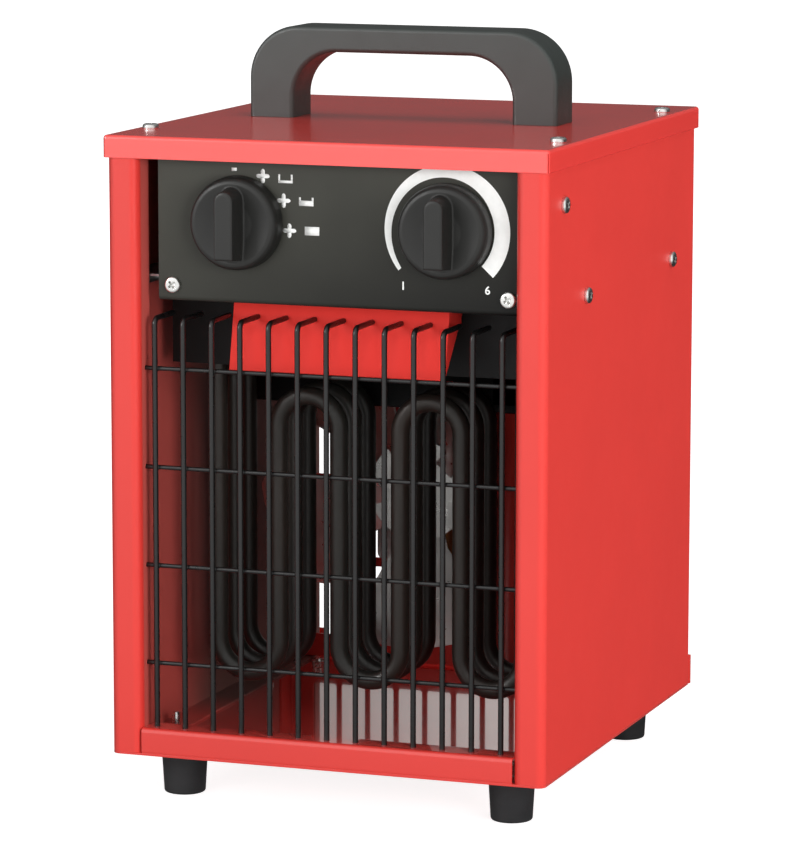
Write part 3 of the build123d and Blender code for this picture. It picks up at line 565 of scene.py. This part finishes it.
def mark_sharp(made):
    """Lets the sharp edges of a bmesh show as such in its smooth shading."""
    for edge in made.edges:
        if len(edge.link_faces) == 2 and edge.calc_face_angle(0) > radians(SHARP_ANGLE):
            edge.smooth = False


# ---- Screws: domed pan heads with a cross recess, over plain shanks
HEAD_RADIUS = 3.7 * MM
HEAD_HEIGHT = 2.2 * MM
SHANK_RADIUS = 1.75 * MM
SHANK_TIP = 0.7
SHANK_BEVEL = 0.5
HEAD_STEPS = 40
DOME_STEPS = 6
# Flat part and rim of the head, as shares of its radius and its height
DOME_FLAT = 0.62
DOME_RIM = 0.45
# Cross recess: reach and half width as shares of the radius, and (height, size) levels
CROSS_REACH = 0.62
CROSS_HALF = 0.15
CROSS_LEVELS = ((0.25, 0.6), (1.4, 1.0))
SCREWS_APART = 30 * MM
FIRST_SPIN = 0.55
SPIN_STEP = 1.7
SCREW_FACINGS = {
    "lid_screws": (0, 0, 1),
    "side_screws": (1, 0, 0),
    "fascia_screws": (0, -1, 0),
    "rear_screws": (0, 1, 0),
    "bracket_screws": (0, 1, 0),
    "base_screws": (0, 0, -1),
    "handle_screws": (0, 0, -1),
}


def pan_head(length):
    """One screw along +Z with the underside of its head at zero."""
    profile = [(0, -length), (SHANK_RADIUS * SHANK_TIP, -length),
               (SHANK_RADIUS, -length + SHANK_RADIUS * SHANK_BEVEL), (SHANK_RADIUS, 0),
               (HEAD_RADIUS, 0)]
    for i in range(DOME_STEPS, 0, -1):
        turn = i / DOME_STEPS * pi / 2
        profile.append((HEAD_RADIUS * DOME_FLAT + HEAD_RADIUS * (1 - DOME_FLAT) * sin(turn),
                        HEAD_HEIGHT * (DOME_RIM + (1 - DOME_RIM) * cos(turn))))
    profile.append((0, HEAD_HEIGHT))
    long, short = HEAD_RADIUS * CROSS_REACH, HEAD_RADIUS * CROSS_HALF
    outline = [(short, short), (short, long), (-short, long), (-short, short),
               (-long, short), (-long, -short), (-short, -short), (-short, -long),
               (short, -long), (short, -short), (long, -short), (long, short)]
    cross = bmesh.new()
    lofted(cross, [[(x * share, y * share, HEAD_HEIGHT * level) for x, y in outline]
                   for level, share in CROSS_LEVELS])
    cutter = in_scene("cutter", mesh_from("cutter", cross))
    cut = evaluated(lathe(profile, HEAD_STEPS),
                    ("BOOLEAN", {"operation": "DIFFERENCE", "object": cutter,
                                 "solver": "EXACT"}))
    bpy.data.objects.remove(cutter)
    mark_sharp(cut)
    return cut


def towards(direction, spin):
    """Rotation that takes +Z to a direction, after a spin about it."""
    turn = direction.to_track_quat("Z", "Y").to_matrix().to_4x4()
    return turn @ Matrix.Rotation(spin, 4, "Z")


def screw_set(name, direction):
    """Detailed screws in place of a node's plain ones; heads point along direction."""
    axis = max(range(3), key=lambda i: abs(direction[i]))
    joined = bmesh.new()
    for count, (low, high) in enumerate(solids_of(name, SCREWS_APART)):
        facing = direction
        if name == "side_screws" and low[axis] <= 0:
            facing = -direction
        place = (low + high) / 2
        top = high[axis] if facing[axis] > 0 else low[axis]
        place[axis] = top - facing[axis] * HEAD_HEIGHT
        single = pan_head(high[axis] - low[axis] - HEAD_HEIGHT)
        turn = towards(facing, FIRST_SPIN + SPIN_STEP * count)
        bmesh.ops.transform(single, matrix=Matrix.Translation(place) @ turn,
                            verts=single.verts)
        mesh = mesh_from("single", single)
        joined.from_mesh(mesh)
        bpy.data.meshes.remove(mesh)
    piece = piece_from(name + "_detail", joined, zinc_plate, body_of(name))
    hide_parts(name)


for name, direction in SCREW_FACINGS.items():
    screw_set(name, Vector(direction))


# ---- Hanger behind the elements and apron below the heat shield, both folded sheets
SHEET = 1 * MM
STRIP_INSET = 1.2 * MM
STRIP_DROP = 4 * MM
HANGER_MIDDLE = 48.8 * MM
HANGER_LIFT = 3 * MM
APRON_LOW = 170.3 * MM
# Along the fold: forward of the sheet's back, up from its low end and half width, in mm
HANGER_FOLD = ((0, 1.2, 5.5), (1.2, 0, 5.5), (4.5, 0, 3.85), (4.5, 1, 3.85),
               (1.6, 1, 5.5), (1, 1.6, 5.5))
APRON_FOLD = ((0, 2.9, 76), (2.9, 0, 74), (3.6, 0.7, 74), (1, 3.3, 76))
shield_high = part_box("heat_shield")[1]
strip_back = shield_high.y - STRIP_INSET
strip_top = shield_high.z - STRIP_DROP
hanger_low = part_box("heating_element_rear")[0].z + HANGER_LIFT


def folded_strip(name, fold, low, middle, material):
    """Sheet that hangs from behind the heat shield and is folded forward at its low end."""
    wide = fold[0][2] * MM
    section = [(wide, strip_back, strip_top)]
    section += [(half * MM, strip_back - forward * MM, low + up * MM)
                for forward, up, half in fold]
    section.append((wide, strip_back - SHEET, strip_top))
    made = bmesh.new()
    lofted(made, [[(middle + side * half, y, z) for half, y, z in section]
                  for side in (-1, 1)])
    piece_from(name, made, material, "housing")


folded_strip("element_hanger", HANGER_FOLD, hanger_low, HANGER_MIDDLE, red_enamel)
folded_strip("shield_apron", APRON_FOLD, APRON_LOW, 0, shield_enamel)


# ---- Weld beads at the crossings of the grille's wires
UPRIGHTS, UPRIGHT_FIRST, UPRIGHT_STEP = 13, -82.8 * MM, 13.56 * MM
CROSS_WIRES, CROSS_FIRST, CROSS_STEP = 4, 63.3 * MM, 44.7 * MM
BEAD_DEPTH = 2.4 * MM
BEAD_RADIUS = 1 * MM
BEAD_STRETCH = (1.75, 0.9, 1.5, 1)
bead_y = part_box("front_grille")[0].y + BEAD_DEPTH
beads = bmesh.new()
for column in range(UPRIGHTS):
    for row in range(CROSS_WIRES):
        place = Matrix.Translation((UPRIGHT_FIRST + column * UPRIGHT_STEP, bead_y,
                                    CROSS_FIRST + row * CROSS_STEP))
        bmesh.ops.create_uvsphere(beads, u_segments=16, v_segments=8, radius=BEAD_RADIUS,
                                  matrix=place @ Matrix.Diagonal(BEAD_STRETCH))
piece_from("grille_welds", beads, wire_enamel, "housing")


# ---- Knobs: a dished disc with a raised grip bar, moulded in one
KNOB_STEPS = 96
KNOB_VOXEL = 0.35 * MM
# In from the rim and up from the back of the skirt, in mm
KNOB_PROFILE = ((0, 0), (0.3, 5.4), (0.9, 7.2), (2.0, 8.4), (3.4, 8.8), (7.0, 8.3),
                (12, 7.6))
GRIP_HALF_WIDTH = 4.3 * MM
GRIP_HALF_LENGTH = 15.0 * MM
GRIP_END_STEPS = 16
GRIP_ROOT = 3 * MM
GRIP_ROOT_FLARE = 1.0 * MM
# Down from the top of the bar and out from its sides, in mm
GRIP_TOP = ((0.9, 0.1), (0.3, 0), (0, -0.6))


def knob_blank(radius, depth):
    """Disc and bar along +Z; the back of the skirt is at zero and the bar lies along Y."""
    profile = [(radius - inward * MM, up * MM) for inward, up in KNOB_PROFILE]
    disc = lathe([(0, 0), *profile, (0, profile[-1][1])], KNOB_STEPS)
    loops = []
    for level, grow in ((GRIP_ROOT, GRIP_ROOT_FLARE),
                        *((depth - down * MM, out * MM) for down, out in GRIP_TOP)):
        wide, long = GRIP_HALF_WIDTH + grow, GRIP_HALF_LENGTH + grow
        turns = [pi * i / GRIP_END_STEPS for i in range(GRIP_END_STEPS + 1)]
        loop = [(wide * cos(turn), long - GRIP_HALF_WIDTH + wide * sin(turn), level)
                for turn in turns]
        loops.append(loop + [(-wide, -long, level), (wide, -long, level)])
    lofted(disc, loops)
    bmesh.ops.recalc_face_normals(disc, faces=disc.faces)
    return disc


def knob(name):
    """Moulded knob in place of a plain one, pointing up at rest."""
    low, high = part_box(name)
    blank = knob_blank((high.x - low.x) / 2, high.y - low.y)
    made = evaluated(blank, ("REMESH", {"mode": "VOXEL", "voxel_size": KNOB_VOXEL}),
                     ("SMOOTH", {"factor": 0.5, "iterations": 4}))
    place = Matrix.Translation(((low.x + high.x) / 2, high.y, (low.z + high.z) / 2))
    bmesh.ops.transform(made, matrix=place @ TO_FRONT, verts=made.verts)
    piece = piece_from(name + "_moulding", made, knob_plastic, body_of(name))
    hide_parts(name)


knob("selector_knob")
knob("thermostat_knob")


# ---- Printed marks on the fascia
INK = 0.06 * MM
INK_WELD = 0.001 * MM
RING_RADIUS = 28.8 * MM
RING_FIRST, RING_LAST, RING_STEPS = -129, 133, 96
# Width of the ring in mm, where it starts and how much it gains, and how fast
RING_THIN, RING_GAIN, RING_HASTE, RING_CURVE = 1.7, 5.4, 1.35, 0.8
FAN_RADIUS, FAN_STEPS = 3.2 * MM, 64
FAN_WAIST, FAN_LOBES, FAN_POWER = 0.40, 0.60, 1.6
BOX_WIDTH, BOX_HEIGHT, BOX_LINE = 6.8 * MM, 3.8 * MM, 0.9 * MM
SIGN_RADIUS, SIGN_ANGLE, BOX_RIGHT = 24.8 * MM, 32, 10.6
# Step, filled share, and how far the fan is moved left and down and the box down, in mm
SELECTOR_SIGNS = ((1, 0.30, 1.8, 0.2, 1.0), (2, 0.62, 1.2, 0.5, 0.6), (3, 1.0, 0.9, 0.2, 0.0))
OFF_LEFT, OFF_UP = 2.2 * MM, 23.4 * MM
OFF_HALF_WIDTH, OFF_HALF_HEIGHT = 1.2 * MM, 0.7 * MM
NUMBER_SIZE = 5 * MM
NUMBER_WEIGHT = 0.02
# Each number with its place right of and above the middle of the thermostat knob, in mm
SCALE_NUMBERS = {"scale_number_low": ("1", -20.2, -25.0),
                 "scale_number_high": ("6", 18.6, -25.4)}


def middle_of(name):
    """Middle of a node's box."""
    low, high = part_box(name)
    return (low + high) / 2


fascia_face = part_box("control_fascia")[0].y
selector_middle = middle_of("selector_knob")
thermostat_middle = middle_of("thermostat_knob")


def printed(made, points):
    """Flat print on the fascia from a closed outline of (x, z) points in bmesh made."""
    front = [made.verts.new((x, fascia_face - INK, z)) for x, z in points]
    back = [made.verts.new((x, fascia_face, z)) for x, z in points]
    made.faces.new(front)
    for i in range(len(points)):
        j = (i + 1) % len(points)
        made.faces.new([front[i], back[i], back[j], front[j]])


def printed_box(made, left, low, right, high):
    """Flat print of an upright rectangle."""
    printed(made, [(left, low), (right, low), (right, high), (left, high)])


def clockwise(middle, radius, angle):
    """Point at a clockwise angle from the top, in degrees, seen from the front."""
    return middle.x + radius * sin(radians(angle)), middle.z + radius * cos(radians(angle))


def ring_width(angle):
    """Width of the thermostat's ring at an angle."""
    share = min(1.0, (angle - RING_FIRST) / (RING_LAST - RING_FIRST) * RING_HASTE)
    return (RING_THIN + RING_GAIN * share ** RING_CURVE) * MM


def scale_ring():
    """Ring around the thermostat that grows wider clockwise."""
    made = bmesh.new()
    for i in range(RING_STEPS):
        angles = [RING_FIRST + (RING_LAST - RING_FIRST) * (i + k) / RING_STEPS
                  for k in (0, 1)]
        outer = [clockwise(thermostat_middle, RING_RADIUS, a) for a in angles]
        inner = [clockwise(thermostat_middle, RING_RADIUS - ring_width(a), a)
                 for a in angles]
        made.faces.new([made.verts.new((x, fascia_face - INK, z))
                        for x, z in (*outer, *reversed(inner))])
    bmesh.ops.remove_doubles(made, verts=made.verts, dist=INK_WELD)
    return made


def fan_sign(made, x, z):
    """Four-bladed fan sign."""
    points = []
    for i in range(FAN_STEPS):
        turn = 2 * pi * i / FAN_STEPS
        reach = FAN_RADIUS * (FAN_WAIST + FAN_LOBES * abs(cos(2 * turn)) ** FAN_POWER)
        points.append((x + reach * sin(turn), z + reach * cos(turn)))
    printed(made, points)


def level_sign(made, x, z, filled):
    """Box outline, filled from below to a share of its height."""
    left, right = x - BOX_WIDTH / 2, x + BOX_WIDTH / 2
    low, high = z - BOX_HEIGHT / 2, z + BOX_HEIGHT / 2
    level = low + max(BOX_LINE, BOX_HEIGHT * filled)
    printed_box(made, left, low, right, level)
    if filled < 1:
        printed_box(made, left, level, left + BOX_LINE, high)
        printed_box(made, right - BOX_LINE, level, right, high)


def selector_marks():
    """Off mark at the top, then a fan with three heat levels clockwise."""
    made = bmesh.new()
    for step, filled, left, low, box_low in SELECTOR_SIGNS:
        x, z = clockwise(selector_middle, SIGN_RADIUS, SIGN_ANGLE * step)
        fan_sign(made, x - left * MM, z - low * MM)
        level_sign(made, x + (BOX_RIGHT - left) * MM, z - box_low * MM, filled)
    x, z = selector_middle.x - OFF_LEFT, selector_middle.z + OFF_UP
    printed_box(made, x - OFF_HALF_WIDTH, z - OFF_HALF_HEIGHT, x + OFF_HALF_WIDTH,
                z + OFF_HALF_HEIGHT)
    return made


def number(name, text, right, up):
    """Plain printed number by the thermostat knob."""
    curve = bpy.data.curves.new(name, "FONT")
    curve.body = text
    curve.size = NUMBER_SIZE
    curve.align_x = "CENTER"
    curve.align_y = "CENTER"
    curve.offset = NUMBER_WEIGHT * NUMBER_SIZE
    written = in_scene("written", curve)
    mesh = bpy.data.meshes.new_from_object(written)
    made = bmesh.new()
    made.from_mesh(mesh)
    bpy.data.meshes.remove(mesh)
    bpy.data.objects.remove(written)
    place = Matrix.Translation((thermostat_middle.x + right * MM, fascia_face - INK,
                                thermostat_middle.z + up * MM))
    bmesh.ops.transform(made, matrix=place @ TO_FRONT, verts=made.verts)
    piece_from(name, made, white_ink, "housing")


piece_from("thermostat_scale", scale_ring(), white_ink, "housing")
piece_from("selector_marks", selector_marks(), white_ink, "housing")
for name, (text, right, up) in SCALE_NUMBERS.items():
    number(name, text, right, up)


# ---- Stage: pale floor, studio surroundings, soft lamps, camera
WHITE = (1.0, 1.0, 1.0)
CARD_WHITE = (1.0, 0.93, 0.90)
FLOOR_GREY = (0.6, 0.6, 0.6)
FLOOR_GREY_MIRRORED = (0.03, 0.03, 0.03)
FLOOR_RADIUS = 6.0
FLOOR_NEAR = 0.6
FLOOR_FAR = 1.6
FLOOR_LIFT = (0.84, 1.0)
# Strength of the surroundings, mirrored and as soft light, and where each one changes
FRONT_GLEAM, BEHIND_GLEAM = 1.15, 0.02
FLOOR_GLEAM_SPAN, WORLD_GLEAM_SPAN = (-0.6, 0.0), (-0.65, 0.0)
BACK_GLEAM, SKY_GLEAM, SKY_SPAN = 0.09, 0.35, (0.25, 0.8)
FRONT_AMBIENT, BACK_AMBIENT, AMBIENT_SPAN = 0.40, 0.20, (-0.3, 0.3)
# White card behind the object: ends, depth and height, and its strength across
CARD_LEFT, CARD_RIGHT, CARD_BACK, CARD_TOP = -0.7, -0.05, 0.75, 0.26
CARD_GLOW, CARD_GLOW_SPAN = (0.42, 0.72), (-0.34, -0.20)
MIDDLE = (0, 0, 0.16)


def shiny_rays(tree, rays):
    """One for rays that metal or glass sends on."""
    made = node(tree, "ShaderNodeMath", operation="MAXIMUM")
    tree.links.new(rays.outputs["Is Glossy Ray"], made.inputs[0])
    tree.links.new(rays.outputs["Is Transmission Ray"], made.inputs[1])
    return made.outputs[0]


def bare_material(name):
    """A material with nothing but its output: the material, its tree and the surface."""
    material, tree = new_material(name)[:2]
    tree.nodes.clear()
    return material, tree, node(tree, "ShaderNodeOutputMaterial").inputs["Surface"]


def floor_material():
    """Matt floor that the camera sees white, with the shadow of the object left in."""
    material, tree, shown = bare_material("floor_white")
    matt = node(tree, "ShaderNodeBsdfDiffuse")
    glow = node(tree, "ShaderNodeEmission", Color=(*WHITE, 1))
    rays = node(tree, "ShaderNodeLightPath")
    place = node(tree, "ShaderNodeNewGeometry").outputs["Position"]
    away = node(tree, "ShaderNodeVectorMath", operation="LENGTH")
    tree.links.new(place, away.inputs[0])
    lift = remap(tree, away.outputs["Value"], *FLOOR_LIFT, (FLOOR_NEAR, FLOOR_FAR))
    seen = product(tree, rays.outputs["Is Camera Ray"], lift)
    shiny = shiny_rays(tree, rays)
    gleam = remap(tree, separated(tree, place)["Y"], FRONT_GLEAM, BEHIND_GLEAM,
                  FLOOR_GLEAM_SPAN)
    tree.links.new(blend_colour(tree, shiny, FLOOR_GREY, FLOOR_GREY_MIRRORED),
                   matt.inputs["Color"])
    tree.links.new(total(tree, seen, product(tree, shiny, gleam)), glow.inputs["Strength"])
    add = node(tree, "ShaderNodeAddShader")
    tree.links.new(matt.outputs[0], add.inputs[0])
    tree.links.new(glow.outputs[0], add.inputs[1])
    tree.links.new(add.outputs[0], shown)
    return material


def either(tree, share, first, second):
    """First value where the share is zero, and second where it is one."""
    made = node(tree, "ShaderNodeMix", data_type="FLOAT")
    for socket, value in zip((0, 2, 3), (share, first, second)):
        set_socket(tree, made.inputs[socket], value)
    return made.outputs[0]


def studio_world():
    """White to the camera, soft light on the object, and in its gloss bright in front."""
    world = bpy.data.worlds.new("studio")
    world.use_nodes = True
    tree = world.node_tree
    background = tree.nodes["Background"]
    rays = node(tree, "ShaderNodeLightPath")
    place = separated(tree, node(tree, "ShaderNodeTexCoord").outputs["Generated"])
    gleam = total(tree, remap(tree, place["Y"], FRONT_GLEAM, 0, WORLD_GLEAM_SPAN),
                  remap(tree, place["Z"], BACK_GLEAM, SKY_GLEAM, SKY_SPAN))
    soft = remap(tree, place["Y"], FRONT_AMBIENT, BACK_AMBIENT, AMBIENT_SPAN)
    lit = either(tree, shiny_rays(tree, rays), soft, gleam)
    tree.links.new(either(tree, rays.outputs["Is Camera Ray"], lit, 1.0),
                   background.inputs["Strength"])
    background.inputs["Color"].default_value = (*WHITE, 1)
    bpy.context.scene.world = world


def mirror_card():
    """Low white card behind the object that only shows in its glossy floor."""
    material, tree, shown = bare_material("card_white")
    glow = node(tree, "ShaderNodeEmission", Color=(*CARD_WHITE, 1))
    rays = node(tree, "ShaderNodeLightPath")
    place = separated(tree, node(tree, "ShaderNodeNewGeometry").outputs["Position"])
    across = remap(tree, place["X"], *CARD_GLOW, CARD_GLOW_SPAN)
    tree.links.new(product(tree, shiny_rays(tree, rays), across), glow.inputs["Strength"])
    tree.links.new(glow.outputs[0], shown)
    made = bmesh.new()
    made.faces.new([made.verts.new((x, CARD_BACK, z))
                    for x, z in ((CARD_LEFT, 0), (CARD_RIGHT, 0), (CARD_RIGHT, CARD_TOP),
                                 (CARD_LEFT, CARD_TOP))])
    mesh = mesh_from("mirror_card", made)
    mesh.materials.append(material)
    card = in_scene("mirror_card", mesh)
    card.visible_camera = False
    card.visible_diffuse = False
    card.visible_shadow = False


def lamp(name, place, size, power, glint=False):
    """Soft square lamp that looks at the object: matt light, or its mirror image alone."""
    data = bpy.data.lights.new(name, "AREA")
    data.shape = "SQUARE"
    data.size = size
    data.energy = power
    made = in_scene(name, data)
    made.location = place
    sight = Vector(MIDDLE) - Vector(place)
    made.rotation_euler = sight.to_track_quat("-Z", "Y").to_euler()
    made.visible_glossy = glint
    made.visible_diffuse = not glint


floor_build = bmesh.new()
bmesh.ops.create_circle(floor_build, cap_ends=True, radius=FLOOR_RADIUS, segments=96)
floor = in_scene("floor", mesh_from("floor", floor_build))
floor.data.materials.append(floor_material())

studio_world()
mirror_card()
lamp("key_soft", (1.85, -1.66, 0.45), 1.2, 48)
lamp("fill_soft", (-0.65, -2.35, 0.55), 1.2, 18)
lamp("right_soft", (2.4, 0.60, 0.55), 1.4, 20)
lamp("back_soft", (-1.6, 1.9, 0.9), 1.4, 14)
lamp("top_soft", (0.5, -0.2, 2.4), 1.4, 15)
lamp("glint", (-1.3, -1.5, 0.9), 0.5, 16, glint=True)

camera_data = bpy.data.cameras.new("photo_camera")
camera_data.lens = CAMERA_LENS
camera_data.sensor_width = CAMERA_SENSOR
camera_data.clip_end = CAMERA_REACH
camera = in_scene("photo_camera", camera_data)
azimuth, down = radians(CAMERA_AZIMUTH), radians(CAMERA_DOWN)
sight = Vector((-sin(azimuth) * cos(down), cos(azimuth) * cos(down), -sin(down)))
roll = Matrix.Rotation(radians(CAMERA_ROLL), 4, "Z").to_quaternion()
camera.location = CAMERA_PLACE
camera.rotation_mode = "QUATERNION"
camera.rotation_quaternion = sight.to_track_quat("-Z", "Y") @ roll
bpy.context.scene.camera = camera
bpy.context.scene.view_settings.view_transform = "Standard"
